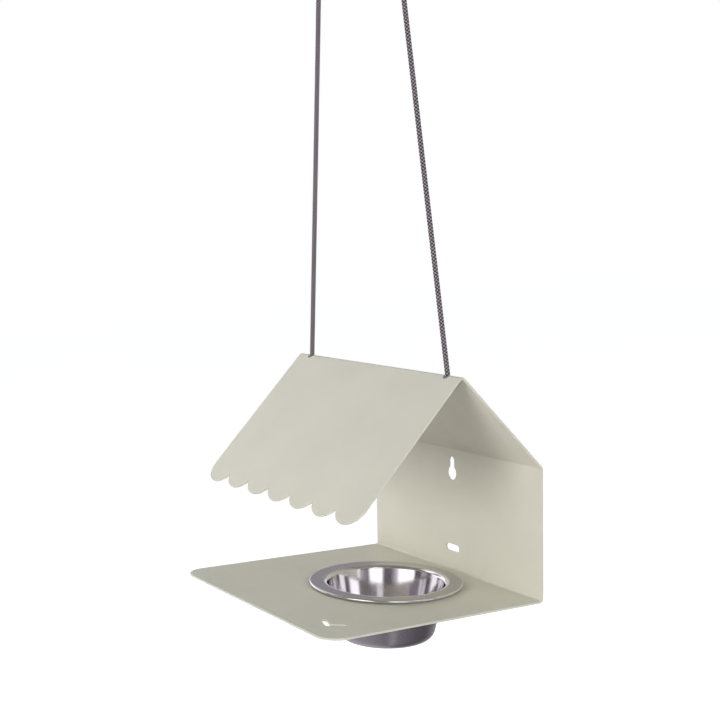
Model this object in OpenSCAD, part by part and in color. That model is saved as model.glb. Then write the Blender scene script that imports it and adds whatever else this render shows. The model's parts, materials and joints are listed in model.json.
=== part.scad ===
/* [House] */
// Width of the folded sheet, along its roof ridge
house_w = 200; // [170:5:240]
// Depth of the floor, from the back plate's rear face to the front edge
floor_d = 178; // [165:1:210]
// Height of the back plate, from the floor's top to the eave fold
back_h = 94; // [88:1:120]
// Length of the rear roof slope, from the eave fold to the ridge
rear_len = 99; // [90:1:125]
// Length of the front roof slope, from the ridge to the tips of the scallops
front_len = 124; // [105:1:135]
// Thickness of the steel sheet
sheet_t = 1.5; // [1:0.1:2.5]
// Radius of the front corners of the floor
floor_corner_r = 15; // [5:1:25]

/* [Folds] */
// Inside radius of every fold
fold_r = 1.5; // [1:0.1:3]
// Turn of the sheet from the floor to the back plate
bottom_turn = 92.5; // [89:0.5:95]
// Turn of the sheet from the back plate to the rear roof slope
eave_turn = 45; // [42:1:48]
// Turn of the sheet over the ridge
ridge_turn = 90; // [84:1:96]

/* [Scalloped edge] */
// Number of scallops along the front roof edge
scallops = 7; // [5:1:9]
// Depth of a scallop, from the notch to its tip
scallop_depth = 8.8; // [5:0.1:9]

/* [Back plate holes] */
// Height of the keyhole's round entry above the floor
keyhole_up = 74.9; // [65:0.1:78]
// Diameter of the keyhole's round entry
keyhole_d = 10.5; // [9:0.1:12]
// Width of the keyhole's slot
keyhole_slot_w = 6; // [4.5:0.1:7]
// Rise from the round entry to the centre of the slot's round end
keyhole_rise = 9.4; // [8:0.1:11]
// Height of the lower screw slot above the floor
screw_slot_up = 17.3; // [12:0.1:30]
// Length of the lower screw slot, end to end
screw_slot_len = 15.6; // [12:0.1:24]
// Height of the lower screw slot's opening
screw_slot_h = 5.3; // [4.2:0.1:7]

/* [Bent slot in the floor] */
// Distance of the bent slot's corner from the floor's right edge
bent_from_side = 29; // [20:1:38]
// Distance of the bent slot's corner from the floor's front edge
bent_from_front = 18.5; // [15:0.5:24]
// Width of the bent slot
bent_w = 3.7; // [2.5:0.1:4.5]
// Length of each arm of the bent slot, from its corner
bent_arm = 11; // [6:0.5:12]
// Direction of the first arm, from the right hand side
bent_angle_a = 161; // [150:1:170]
// Direction of the second arm, from the right hand side
bent_angle_b = 54; // [45:1:65]

/* [Bowl] */
// Outer diameter of the bowl's rim
rim_d = 112; // [104:1:120]
// Diameter of the bowl's mouth, at the inner edge of the flat rim
mouth_d = 92; // [84:1:96]
// Depth of the bowl below the floor's top
bowl_depth = 39.4; // [32:0.1:45]
// Lean of the bowl's wall from upright
wall_lean = 12; // [8:0.5:20]
// Outer radius of the corner between the wall and the base
base_corner_r = 8.5; // [4:0.5:10]
// Outer radius of the turn from the wall into the rim
lip_r = 3; // [1.4:0.1:4]
// Thickness of the bowl's sheet
bowl_t = 0.6; // [0.5:0.1:1]
// Diameter of the rolled bead around the rim
bead_d = 2.2; // [1.8:0.1:2.8]
// Distance of the bowl's centre from the back plate's rear face
bowl_from_back = 67.5; // [64:0.5:90]
// Offset of the bowl's centre to the right of the floor's middle
bowl_offset = 6; // [-15:1:15]

/* [Cord] */
// Diameter of the braided cord
cord_d = 3.4; // [2:0.1:3.6]
// Distance of each cord hole from the side of the roof
cord_hole_inset = 15.5; // [12:0.5:25]
// Diameter of each knot under the ridge
knot_d = 8; // [7:0.5:10]
// Length of the cord's tail below a knot's centre
knot_tail = 6.5; // [5:0.5:9]
// Drop from the top of the loop to the ridge
hang_drop = 309.5; // [300:0.5:320]

/* [Hidden] */
$fn = 96;

// Clearances: hole round the cord, hole round the bowl, rim over the floor, knot under the fold
cord_hole_gap = 1;
bowl_hole_gap = 0.6;
rim_seat_gap = 0.3;
knot_gap = 0.2;
// Half of the break between the cord and a knot's neck, where the house tilts on the cord
tilt_gap = 0.45;
// How far a cutter runs past the face that it cuts, and the largest step along a bend in degrees
past = 5;
arc_step = 7.5;

sheet_color = [0.79, 0.78, 0.73];
steel_color = [0.62, 0.62, 0.63];
cord_color = [0.45, 0.41, 0.43];

// Folded sheet: outer radius of a fold and how far each fold reaches along its panels
fold_out = fold_r + sheet_t;
bottom_reach = fold_out * tan(bottom_turn / 2);
eave_reach = fold_out * tan(eave_turn / 2);
ridge_reach = fold_out * tan(ridge_turn / 2);
back_len = back_h + sheet_t;

// Scallops: arcs through neighbouring notches, scallop_depth high
scallop_w = house_w / scallops;
scallop_r = (pow(scallop_w / 2, 2) + pow(scallop_depth, 2)) / (2 * scallop_depth);
notch_len = front_len - scallop_depth;

// Bowl, seen in section: the wall leans by wall_lean and turns by bowl_turn at base and lip
bowl_turn = 90 - wall_lean;
rim_top = rim_seat_gap + bead_d;
rim_under = rim_top - bowl_t;
wall_top_r = mouth_d / 2 - lip_r * sin(bowl_turn);
wall_rise = bowl_depth + rim_under - (base_corner_r + lip_r) * (1 - cos(bowl_turn));
wall_len = wall_rise / sin(bowl_turn);
base_flat_r = wall_top_r - wall_len * cos(bowl_turn) - base_corner_r * sin(bowl_turn);
bowl_hole_d = mouth_d - 2 * lip_r * sin(bowl_turn) + 2 * bowl_hole_gap;
bowl_y = -bowl_from_back;

// Cord holes, and the line through them on which the house tilts
cord_hole_x = house_w / 2 - cord_hole_inset;
cord_hole_d = cord_d + 2 * cord_hole_gap;
half_ridge = ridge_turn / 2;
crown_depth = fold_out * (1 / cos(half_ridge) - 1);
pivot_depth = crown_depth + sheet_t / 2;
knot_depth = (sheet_t + knot_gap + knot_d / 2) / cos(half_ridge);

// Places in the house's own frame as [y, z], with the floor's top at z = 0
function along(angle, length) = length * [cos(angle), sin(angle)];
function arc(centre, r, from, to) =
    let (n = ceil(abs(to - from) / arc_step))
    [for (i = [0 : n]) centre + along(from + (to - from) * i / n, r)];
function reversed(points) = [for (i = [len(points) - 1 : -1 : 0]) points[i]];
back_angle = bottom_turn;
rear_angle = back_angle + eave_turn;
front_angle = rear_angle + ridge_turn;
bisector_angle = rear_angle + half_ridge + 90;
bottom_corner = [0, -sheet_t];
eave_corner = bottom_corner + along(back_angle, back_len);
ridge_corner = eave_corner + along(rear_angle, rear_len);
pivot = ridge_corner + along(bisector_angle, pivot_depth);

// The house hangs with its centre of mass under the pivot: [volume, y, z] of every panel
front_mean = notch_len + scallop_depth * 2 / 3;
bowl_hole_area = PI * pow(bowl_hole_d / 2, 2);
floor_area = house_w * floor_d - bowl_hole_area;
floor_y = (-house_w * floor_d * floor_d / 2 - bowl_hole_area * bowl_y) / floor_area;
rim_area = PI * (pow(rim_d / 2, 2) - pow(mouth_d / 2, 2)) + PI * rim_d * bead_d;
wall_area = PI * (wall_top_r + base_flat_r + base_corner_r) * wall_len;
base_area = PI * pow(base_flat_r + base_corner_r, 2);
function slab(area, at) = [area * sheet_t, at[0] * area * sheet_t, at[1] * area * sheet_t];
function dish(area, z) = [area * bowl_t, bowl_y * area * bowl_t, z * area * bowl_t];
moments = slab(floor_area, [floor_y, -sheet_t / 2])
    + slab(house_w * back_len, (bottom_corner + eave_corner) / 2)
    + slab(house_w * rear_len, (eave_corner + ridge_corner) / 2)
    + slab(house_w * front_mean, ridge_corner + along(front_angle, front_mean / 2))
    + dish(rim_area, rim_top)
    + dish(wall_area, -bowl_depth / 2)
    + dish(base_area, -bowl_depth);
mass_centre = [moments[1], moments[2]] / moments[0];
hang_tilt = atan((mass_centre[0] - pivot[0]) / (pivot[1] - mass_centre[1]));

// The cord's route as [x, z], from the right hand hole up to the middle of the loop
route_half = [
    [84.5, -309.05], [78.5, -262.5], [72.4, -215.5], [66.3, -168.5], [60.25, -121.5], [54.15, -74.5],
    [50.1, -43], [46.8, -30], [40.5, -18.3], [31, -8.8], [19.5, -2.3], [6.5, 1.2]
];
route = concat(
    [for (p = route_half) p],
    [[0, 1.7]],
    [for (i = [len(route_half) - 1 : -1 : 0]) [-route_half[i][0], route_half[i][1]]]
);
cord_sides = 8;
cord_steps = 3;

// A smooth curve through the route: at u it has passed floor(u) of the route's points
function route_at(i) = route[max(0, min(len(route) - 1, i))];
function blend4(a, b, c, d, t) =
    0.5 * (2 * b + (c - a) * t + (2 * a - 5 * b + 4 * c - d) * t * t + (3 * b - a - 3 * c + d) * t * t * t);
function curve(u) =
    let (i = min(floor(u), len(route) - 2), t = u - i)
    blend4(route_at(i - 1), route_at(i), route_at(i + 1), route_at(i + 2), t);
function heading(u) =
    let (last = len(route) - 1, a = curve(max(0, u - 0.05)), b = curve(min(last, u + 0.05)))
    (b - a) / norm(b - a);
// The end rings lie level, so that the cord meets its knots square
function ring_side(u) =
    (u == 0) ? [1, 0] : (u == len(route) - 1) ? [-1, 0] : let (h = heading(u)) [h[1], -h[0]];
function ring(u) =
    let (p = curve(u), side = ring_side(u))
    [for (k = [0 : cord_sides - 1])
        let (a = (k + 0.5) * 360 / cord_sides, across = cord_d / 2 * cos(a))
        [p[0] + side[0] * across, cord_d / 2 * sin(a), p[1] + side[1] * across]];

// Flat outline of a straight slot with round ends, from the origin along +X
module slot_outline(length, width) {
    translate([0, -width / 2]) square([length, width]);
    circle(d = width);
    translate([length, 0]) circle(d = width);
}

// The sheet seen from its side, as [y, z]: one face of it from the floor's front to the roof's front,
// at a distance of in from its outer face
function sheet_face(in) = concat(
    [[-floor_d, in - sheet_t]],
    fold_arc(bottom_corner, 0, bottom_turn, bottom_reach, fold_out - in),
    fold_arc(eave_corner, back_angle, eave_turn, eave_reach, fold_out - in),
    fold_arc(ridge_corner, rear_angle, ridge_turn, ridge_reach, fold_out - in),
    [ridge_corner + along(front_angle, front_len) + along(front_angle + 90, in)]
);
function fold_arc(corner, angle, turn, reach, r) =
    arc(corner - along(angle, reach) + along(angle + 90, fold_out), r, angle - 90, angle - 90 + turn);

// Frames that follow the sheet: +Y along it, +Z to its inside, x across
module on_floor() { translate([0, 0, -sheet_t]) children(); }
module on_back() { on_floor() rotate([back_angle, 0, 0]) children(); }
module on_front() { translate([0, ridge_corner[0], ridge_corner[1]]) rotate([front_angle, 0, 0]) children(); }
// At the ridge's outer corner, with +Z down into the house between the two slopes
module on_ridge() {
    translate([0, ridge_corner[0], ridge_corner[1]]) rotate([front_angle - half_ridge, 0, 0]) children();
}

module folded_sheet() {
    rotate([90, 0, 90]) linear_extrude(height = house_w, center = true)
        polygon(concat(sheet_face(0), reversed(sheet_face(sheet_t))));
}

// Cuts a flat outline through a panel
module through() {
    translate([0, 0, -past]) linear_extrude(height = sheet_t + 2 * past) children();
}

// Leaves the scallops standing along the front edge
module scallop_cut() {
    on_front() through() difference() {
        translate([-house_w / 2 - past, front_len - scallop_r])
            square([house_w + 2 * past, scallop_r + past]);
        for (i = [0 : scallops - 1])
            translate([(i + 0.5) * scallop_w - house_w / 2, front_len - scallop_r]) circle(r = scallop_r);
    }
}

module keyhole_cut() {
    on_back() translate([0, keyhole_up + sheet_t, 0]) through() {
        circle(d = keyhole_d);
        rotate(90) slot_outline(keyhole_rise, keyhole_slot_w);
    }
}

module screw_slot_cut() {
    straight = screw_slot_len - screw_slot_h;
    on_back() translate([-straight / 2, screw_slot_up + sheet_t, 0]) through()
        slot_outline(straight, screw_slot_h);
}

module bent_slot_cut() {
    on_floor() translate([house_w / 2 - bent_from_side, bent_from_front - floor_d, 0]) through() {
        rotate(bent_angle_a) slot_outline(bent_arm, bent_w);
        rotate(bent_angle_b) slot_outline(bent_arm, bent_w);
    }
}

// Rounds the floor's two front corners
module floor_corner_cuts() {
    on_floor() for (s = [-1, 1]) mirror([(1 - s) / 2, 0, 0])
        translate([house_w / 2 - floor_corner_r, floor_corner_r - floor_d, 0]) through() difference() {
            translate([0, -floor_corner_r - past]) square(floor_corner_r + past);
            circle(r = floor_corner_r);
        }
}

module bowl_hole_cut() {
    on_floor() translate([bowl_offset, bowl_y, -past]) cylinder(d = bowl_hole_d, h = sheet_t + 2 * past);
}

module cord_hole_cuts() {
    for (s = [-1, 1])
        on_ridge() translate([s * cord_hole_x, 0, -past])
            cylinder(d = cord_hole_d, h = crown_depth + sheet_t + 2 * past);
}

// Brings the house from its own frame to where it hangs under the loop
module hang() {
    translate([0, 0, -hang_drop]) rotate([-hang_tilt, 0, 0])
        translate([0, -pivot[0], -pivot[1]]) children();
}

module house_sheet() {
    color(sheet_color) hang() difference() {
        folded_sheet();
        floor_corner_cuts();
        scallop_cut();
        keyhole_cut();
        screw_slot_cut();
        bent_slot_cut();
        bowl_hole_cut();
        cord_hole_cuts();
    }
}

// One face of the bowl in section, from the middle of its base to the flat of its rim, at a distance
// of in from its under side
function bowl_face(in) = concat(
    [[0, in - bowl_depth]],
    arc([base_flat_r, base_corner_r - bowl_depth], base_corner_r - in, -90, bowl_turn - 90),
    arc([mouth_d / 2, rim_under - lip_r], lip_r + in, bowl_turn + 90, 90)
);

// The rolled bead starts under the flat of the rim and ends on top of it
bead_r = bead_d / 2;
bead_start = 180 - asin((bead_r - bowl_t) / bead_r);
bead = arc([rim_d / 2 - bead_r, rim_seat_gap + bead_r], bead_r, bead_start, 450);

module bowl() {
    color(steel_color) hang() translate([bowl_offset, bowl_y, 0]) rotate_extrude()
        polygon(concat(bowl_face(0), bead, reversed(bowl_face(bowl_t))));
}

module cord() {
    rings = [for (i = [0 : (len(route) - 1) * cord_steps]) ring(i / cord_steps)];
    n = len(rings);
    ring_points = [for (r = rings) each r];
    sides = [for (i = [0 : n - 2], k = [0 : cord_sides - 1])
        let (a = i * cord_sides + k, b = i * cord_sides + (k + 1) % cord_sides)
        [a, b, b + cord_sides, a + cord_sides]];
    start_cap = [for (k = [cord_sides - 1 : -1 : 0]) k];
    end_cap = [for (k = [0 : cord_sides - 1]) (n - 1) * cord_sides + k];
    color(cord_color) polyhedron(points = ring_points, faces = concat([start_cap, end_cap], sides));
}

// A stopper knot tucked up under the fold, with its neck in the hole and a short tail
module knot(side) {
    neck_top = pivot_depth + tilt_gap;
    color(cord_color) hang() on_ridge() translate([side * cord_hole_x, 0, 0]) {
        translate([0, 0, neck_top]) cylinder(d = cord_d, h = knot_depth - neck_top);
        translate([0, 0, knot_depth]) sphere(d = knot_d);
        translate([0, 0, knot_depth]) cylinder(d = cord_d, h = knot_tail);
    }
}

module left_knot() { knot(-1); }
module right_knot() { knot(1); }

house_sheet();
bowl();
cord();
left_knot();
right_knot();
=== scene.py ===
"""Dresses the hanging bird feeder: the folded house, the steel bowl, the braided cord and its knots.

Lengths are in millimetres in every class and become metres where a mesh is made. The house's own frame
has x along the ridge, y = 0 at the back plate's rear face and z = 0 on the floor. The row frame has its
origin at the inside top of the cord loop, and the house hangs in it nose-up by a few degrees.
"""

from __future__ import annotations

import json
import logging
import math
from dataclasses import dataclass, field
from enum import Enum

import bpy
import numpy as np
from mathutils import Matrix, Vector, geometry


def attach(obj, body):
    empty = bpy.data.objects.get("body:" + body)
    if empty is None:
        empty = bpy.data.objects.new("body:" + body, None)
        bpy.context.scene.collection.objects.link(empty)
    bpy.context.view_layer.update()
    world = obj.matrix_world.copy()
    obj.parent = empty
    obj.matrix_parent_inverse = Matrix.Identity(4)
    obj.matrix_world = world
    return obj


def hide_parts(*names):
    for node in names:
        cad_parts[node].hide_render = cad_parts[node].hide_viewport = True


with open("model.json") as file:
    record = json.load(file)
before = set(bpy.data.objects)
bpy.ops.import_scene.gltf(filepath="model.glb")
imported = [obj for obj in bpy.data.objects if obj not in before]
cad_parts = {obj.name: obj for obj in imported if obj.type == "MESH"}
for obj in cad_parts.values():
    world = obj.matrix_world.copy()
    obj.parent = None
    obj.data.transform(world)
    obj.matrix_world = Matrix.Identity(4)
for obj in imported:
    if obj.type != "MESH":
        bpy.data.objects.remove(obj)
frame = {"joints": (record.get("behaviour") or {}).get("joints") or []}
log = logging.getLogger("bird_feeder")

Array = np.ndarray
Socket = bpy.types.NodeSocket
Pair = tuple[float, float]
Triple = tuple[float, float, float]
Rgba = tuple[float, float, float, float]

METRE = 0.001
TINY = 1e-9
WHITE: Rgba = (1.0, 1.0, 1.0, 1.0)


class Side(Enum):
    """The two ends of the ridge, as the sign of x."""

    LEFT = -1
    RIGHT = 1


class Body(Enum):
    """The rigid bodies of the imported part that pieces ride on."""

    HANGER = "hanger"
    HOUSE = "house"
    BOWL = "bowl"


# ---------------------------------------------------------------- plane and mesh helpers


def along(angle: float | Array, length: float | Array = 1.0) -> Array:
    """A step in a plane: length times the cosine and the sine of an angle.

    Args:
        angle: Direction in degrees, one or many.
        length: Length of the step.

    Returns:
        The step, with the two coordinates on the last axis.
    """
    turned = np.radians(angle)
    return np.stack([np.cos(turned) * length, np.sin(turned) * length], axis=-1)


def arc(centre: Array, radius: float, start: float, end: float, step: float = 4.0) -> Array:
    """Points on a circle between two angles, evenly spaced.

    Args:
        centre: Centre of the circle.
        radius: Its radius.
        start: First angle in degrees.
        end: Last angle in degrees.
        step: Largest angle between neighbouring points.

    Returns:
        The points, both ends included.
    """
    count = max(2, int(math.ceil(abs(end - start) / step)) + 1)
    return np.asarray(centre) + along(np.linspace(start, end, count), radius)


def unit(vectors: Array) -> Array:
    """Each vector divided by its length."""
    return vectors / np.maximum(np.linalg.norm(vectors, axis=-1, keepdims=True), 1e-12)


def length_of(points: Array) -> float:
    """The length of a row of points: the sum of its steps."""
    return float(np.linalg.norm(np.diff(points, axis=0), axis=1).sum())


def through(points: Array, steps: int) -> Array:
    """A smooth curve: between two points a cubic keeps to the slope that joins their neighbours.

    Args:
        points: Points to pass through, in two or three coordinates.
        steps: Steps from each point to the next.

    Returns:
        Points of the curve, both ends included.
    """
    padded = np.concatenate([points[:1], points, points[-1:]])
    t = np.linspace(0.0, 1.0, steps, endpoint=False)[None, :, None]
    a, b, c, d = (padded[k: len(points) - 1 + k, None] for k in range(4))
    curve = 0.5 * (
        2 * b + (c - a) * t + (2 * a - 5 * b + 4 * c - d) * t**2 + (3 * b - a - 3 * c + d) * t**3
    )
    return np.concatenate([curve.reshape(-1, points.shape[1]), points[-1:]])


def make_mesh(
    name: str, points: Array, quads: Array, tris: Array, normals: Array | None = None
) -> bpy.types.Object:
    """Puts whole arrays of points and faces into a new smooth object.

    Args:
        name: Name of the object and its mesh.
        points: Places in metres, in the row frame.
        quads: Four point numbers a row.
        tris: Three point numbers a row.
        normals: One direction for each face corner, quads first, or None for Blender's own.

    Returns:
        The object, at the origin, linked to the scene.
    """
    mesh = bpy.data.meshes.new(name)
    loops = np.concatenate([quads.ravel(), tris.ravel()])
    starts = np.concatenate([np.arange(len(quads)) * 4, len(quads) * 4 + np.arange(len(tris)) * 3])
    mesh.vertices.add(len(points))
    mesh.vertices.foreach_set("co", np.asarray(points, np.float32).ravel())
    mesh.loops.add(len(loops))
    mesh.loops.foreach_set("vertex_index", loops.astype(np.int32))
    mesh.polygons.add(len(starts))
    mesh.polygons.foreach_set("loop_start", starts.astype(np.int32))
    mesh.polygons.foreach_set("use_smooth", np.ones(len(starts), bool))
    mesh.update(calc_edges=True)
    if normals is not None:
        mesh.normals_split_custom_set(unit(normals).tolist())
    piece = bpy.data.objects.new(name, mesh)
    bpy.context.scene.collection.objects.link(piece)
    return piece


def ring_faces(rows: int, sides: int) -> tuple[Array, Array]:
    """Faces of a row of rings that is closed by a point at each end.

    Args:
        rows: Number of rings.
        sides: Points a ring.

    Returns:
        The quads between rings, and the end triangles. The two end points come after all rings.
    """
    number = np.arange(rows * sides).reshape(rows, sides)
    ahead = np.roll(number, -1, 1)
    quads = np.stack([number[:-1], ahead[:-1], ahead[1:], number[1:]], axis=-1).reshape(-1, 4)
    first, last = (np.full(sides, rows * sides + k) for k in range(2))
    tris = np.concatenate([
        np.column_stack([first, ahead[0], number[0]]), np.column_stack([last, number[-1], ahead[-1]])
    ])
    return quads, tris


# ---------------------------------------------------------------- where the house hangs


@dataclass(frozen=True)
class Hang:
    """Carries points from the house's own frame to where it hangs.

    Attributes:
        pivot: The line that the house tilts about, as (y, z) in the house's frame.
        tilt: How far the front rises, in degrees.
        drop: Height of that line in the row frame.
    """

    pivot: Pair
    tilt: float
    drop: float

    def turn(self, vectors: Array) -> Array:
        """Directions of the house's frame turned about x by minus the tilt, into the row frame."""
        c, s = math.cos(math.radians(self.tilt)), math.sin(math.radians(self.tilt))
        return np.asarray(vectors) @ np.array([[1, 0, 0], [0, c, s], [0, -s, c]]).T

    def place(self, points: Array) -> Array:
        """Points in millimetres moved to the pivot, turned, and moved to where it hangs, in metres."""
        moved = self.turn(np.asarray(points) - np.array([0.0, *self.pivot]))
        return (moved + np.array([0.0, 0.0, self.drop])) * METRE


# ---------------------------------------------------------------- finishes


def to_linear(shown: tuple[int, int, int], factor: float = 1.0) -> Rgba:
    """A displayed colour of 0 to 255 as the linear colour that shader sockets take.

    Args:
        shown: Red, green and blue.
        factor: What the linear colour is multiplied with. The result stays at 1 or below.

    Returns:
        Linear red, green, blue and an alpha of 1.
    """
    part = np.array(shown) / 255.0
    linear = np.where(part <= 0.04045, part / 12.92, ((part + 0.055) / 1.055) ** 2.4)
    return (*[min(1.0, float(v) * factor) for v in linear], 1.0)


class Nodes:
    """A short way to lay out one node tree."""

    def __init__(self, tree: bpy.types.NodeTree) -> None:
        """Takes an empty tree.

        Args:
            tree: The node tree of a material or of the world.
        """
        self.tree = tree
        tree.nodes.clear()

    def add(
        self, kind: str, values: dict[str | int, object] | None = None, **settings: object
    ) -> bpy.types.Node:
        """Adds one node.

        Args:
            kind: The node's type name.
            values: Input sockets by name or number, each a plain value or an output to link.
            **settings: Properties of the node itself.

        Returns:
            The new node.
        """
        node = self.tree.nodes.new(kind)
        for key, value in settings.items():
            setattr(node, key, value)
        for key, value in (values or {}).items():
            if isinstance(value, Socket):
                self.tree.links.new(value, node.inputs[key])
            else:
                node.inputs[key].default_value = value
        return node

    def out(self, kind: str, values: dict[str | int, object] | None = None, **settings: object) -> Socket:
        """Adds one node and takes its first output."""
        return self.add(kind, values, **settings).outputs[0]

    def place(self, space: str = "Object") -> Socket:
        """Where the shaded point is."""
        return self.add("ShaderNodeTexCoord").outputs[space]

    def noise(self, vector: Socket, scale: float, detail: float = 3.0) -> Socket:
        """Noise read at a vector, about 0.5 on average, with so many cells a unit."""
        return self.out("ShaderNodeTexNoise", {"Vector": vector, "Scale": scale, "Detail": detail})

    def span(self, value: Socket, low: float, high: float, first: float = 0.0, last: float = 1.0) -> Socket:
        """The stretch of a value from low to high, drawn out to run from first to last."""
        return self.out("ShaderNodeMapRange", {0: value, 1: low, 2: high, 3: first, 4: last})

    def ramp(self, value: Socket, first: float, last: float) -> Socket:
        """The middle of a noise, 0.3 to 0.7, drawn out to run from first to last."""
        return self.span(value, 0.3, 0.7, first, last)

    def math(self, operation: str, a: object, b: object = 0.0) -> Socket:
        """One step of arithmetic with one or two values."""
        return self.out("ShaderNodeMath", {0: a, 1: b}, operation=operation)

    def mix(self, share: object, low: object, high: object) -> Socket:
        """A colour between two: the first at a share of 0 and the second at 1."""
        return self.add("ShaderNodeMix", {0: share, 6: low, 7: high}, data_type="RGBA").outputs[2]

    def bump(self, height: Socket, strength: float, distance: float) -> Socket:
        """The normal as lifted by a height, where a height of 1 is so many metres."""
        return self.out("ShaderNodeBump", {"Height": height, "Strength": strength, "Distance": distance})

    def glow(self, kind: str, colour: object, strength: float = 1.0) -> Socket:
        """An Emission or Background shader."""
        return self.out(f"ShaderNode{kind}", {"Color": colour, "Strength": strength})

    def blend(self, share: Socket, first: Socket, second: Socket) -> Socket:
        """A shader between two: the first at a share of 0 and the second at 1."""
        return self.out("ShaderNodeMixShader", {0: share, 1: first, 2: second})

    def principled(self, values: dict[str, object]) -> None:
        """Ends a material with a Principled shader of these inputs."""
        self.add("ShaderNodeOutputMaterial", {"Surface": self.out("ShaderNodeBsdfPrincipled", values)})


def new_material(name: str) -> tuple[bpy.types.Material, Nodes]:
    """A new material with an empty node tree.

    Args:
        name: The material's name.

    Returns:
        The material and its tree.
    """
    material = bpy.data.materials.new(name)
    material.use_nodes = True
    return material, Nodes(material.node_tree)


@dataclass(frozen=True)
class PowderCoat:
    """Satin powder coat on steel: a fine orange peel and a slight unevenness of tone.

    Attributes:
        colour: Its colour as displayed.
        tones: Darkest and lightest tone as shares of that colour.
        roughness: Its roughness.
        uneven: How far the roughness wanders.
        peel_mm: Size of the orange peel.
        peel_depth_mm: Its depth.
        peel_strength: Its strength as relief.
        tone_cells: Patches of tone a metre.
        gloss_cells: Patches of roughness a metre.
    """

    colour: tuple[int, int, int] = (207, 204, 191)
    tones: Pair = (0.965, 1.02)
    roughness: float = 0.5
    uneven: float = 0.03
    peel_mm: float = 0.9
    peel_depth_mm: float = 0.006
    peel_strength: float = 0.35
    tone_cells: float = 22.0
    gloss_cells: float = 160.0

    def build(self) -> bpy.types.Material:
        """Noise tints the colour by a few parts in a hundred and finer noise lifts the surface.

        Returns:
            The material.
        """
        material, n = new_material("powder_coat_beige_grey")
        place = n.place()
        dark, light = (to_linear(self.colour, share) for share in self.tones)
        tone = n.mix(n.ramp(n.noise(place, self.tone_cells, 4.0), 0.0, 1.0), dark, light)
        grain = n.noise(place, 1.0 / (self.peel_mm * METRE), 2.0)
        normal = n.bump(grain, self.peel_strength, self.peel_depth_mm * METRE)
        gloss = n.noise(place, self.gloss_cells)
        rough = n.ramp(gloss, self.roughness - self.uneven, self.roughness + self.uneven)
        n.principled({"Base Color": tone, "Roughness": rough, "Normal": normal})
        return material


@dataclass(frozen=True)
class SpunSteel:
    """Stainless steel with fine rings about its own axis, as polishing on a spindle leaves them.

    Attributes:
        name: The material's name.
        colour: Its lightest colour as displayed.
        roughness: Its roughness.
        spread: How far the roughness differs from ring to ring.
        rings: Strength of the rings' relief.
        centre: A point on the axis, in metres.
        tilt: The axis' turn about x, in degrees.
        dark: The darkest rings' share of the colour.
        fineness: Cells of the rings' noise a metre.
        around: Metres that a radian about the axis counts as, which sets how long the rings run.
        relief: Height of the rings in metres.
        cloud_cells: Clouds of roughness a metre.
        cloud: What the clouds add to the roughness or take from it.
    """

    name: str
    colour: tuple[int, int, int]
    roughness: float
    spread: float
    rings: float
    centre: Triple
    tilt: float
    dark: float = 0.86
    fineness: float = 1900.0
    around: float = 0.012
    relief: float = 0.00003
    cloud_cells: float = 60.0
    cloud: float = 0.02

    def build(self) -> bpy.types.Material:
        """Noise read at distance from the axis, a little of the angle and height gives the rings.

        Returns:
            The material.
        """
        material, n = new_material(self.name)
        place = n.place()
        turned = n.out(
            "ShaderNodeMapping",
            {"Vector": place, "Location": self.centre, "Rotation": (math.radians(self.tilt), 0.0, 0.0)},
            vector_type="TEXTURE",
        )
        x, y, z = n.add("ShaderNodeSeparateXYZ", {0: turned}).outputs
        away = n.math("SQRT", n.math("ADD", n.math("MULTIPLY", x, x), n.math("MULTIPLY", y, y)))
        about = n.math("MULTIPLY", n.math("ARCTAN2", y, x), self.around)
        rings = n.noise(n.out("ShaderNodeCombineXYZ", {0: away, 1: about, 2: z}), self.fineness, 4.0)
        clouds = n.noise(place, self.cloud_cells)
        tone = n.mix(n.ramp(rings, 0.0, 1.0), to_linear(self.colour, self.dark), to_linear(self.colour))
        ringed = n.ramp(rings, self.roughness - self.spread, self.roughness + self.spread)
        rough = n.math("ADD", ringed, n.ramp(clouds, -self.cloud, self.cloud))
        normal = n.bump(rings, self.rings, self.relief)
        n.principled({"Base Color": tone, "Metallic": 1.0, "Roughness": rough, "Normal": normal})
        return material


@dataclass(frozen=True)
class BraidedYarn:
    """Matt yarn with painted shade: darker in the gaps of the braid, with fine fibres along each strand.

    Attributes:
        light: Colour of a strand's top as displayed, partly the yarn's own colour and partly a painted
            highlight.
        dark: Colour of the painted shade in the gaps, as displayed.
        roughness: Its roughness.
        depth: The power that draws the painted shade up along the strands' sides.
        fibre_cells: Fibres a metre, about.
        fibre_dark: The darkest fibres' share of the light.
        fibre_relief: Height of the fibres in metres.
        fibre_strength: Their strength as relief.
        sheen: Weight and roughness of the sheen.
    """

    light: tuple[int, int, int] = (205, 192, 202)
    dark: tuple[int, int, int] = (10, 8, 10)
    roughness: float = 0.85
    depth: float = 2.5
    fibre_cells: float = 5200.0
    fibre_dark: float = 0.72
    fibre_relief: float = 0.00008
    fibre_strength: float = 0.5
    sheen: Pair = (0.25, 0.5)

    def build(self) -> bpy.types.Material:
        """The mesh's own lift attribute, 0 in a gap and 1 on a strand, mixes painted shade in the gaps with
        the strands' light tops.

        Returns:
            The material.
        """
        material, n = new_material("braided_yarn_grey")
        lift = n.add("ShaderNodeAttribute", attribute_name="lift").outputs["Fac"]
        fibre = n.noise(n.place(), self.fibre_cells)
        # Painted shade: the share of the light colour falls towards the near-black dark one down in the
        # braid's gaps.
        share = n.math("MULTIPLY", n.math("POWER", lift, self.depth), n.ramp(fibre, self.fibre_dark, 1.0))
        n.principled({
            "Base Color": n.mix(share, to_linear(self.dark), to_linear(self.light)),
            "Roughness": self.roughness,
            "Normal": n.bump(fibre, self.fibre_strength, self.fibre_relief),
            "Sheen Weight": self.sheen[0],
            "Sheen Roughness": self.sheen[1],
        })
        return material


# ---------------------------------------------------------------- the folded house


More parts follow.
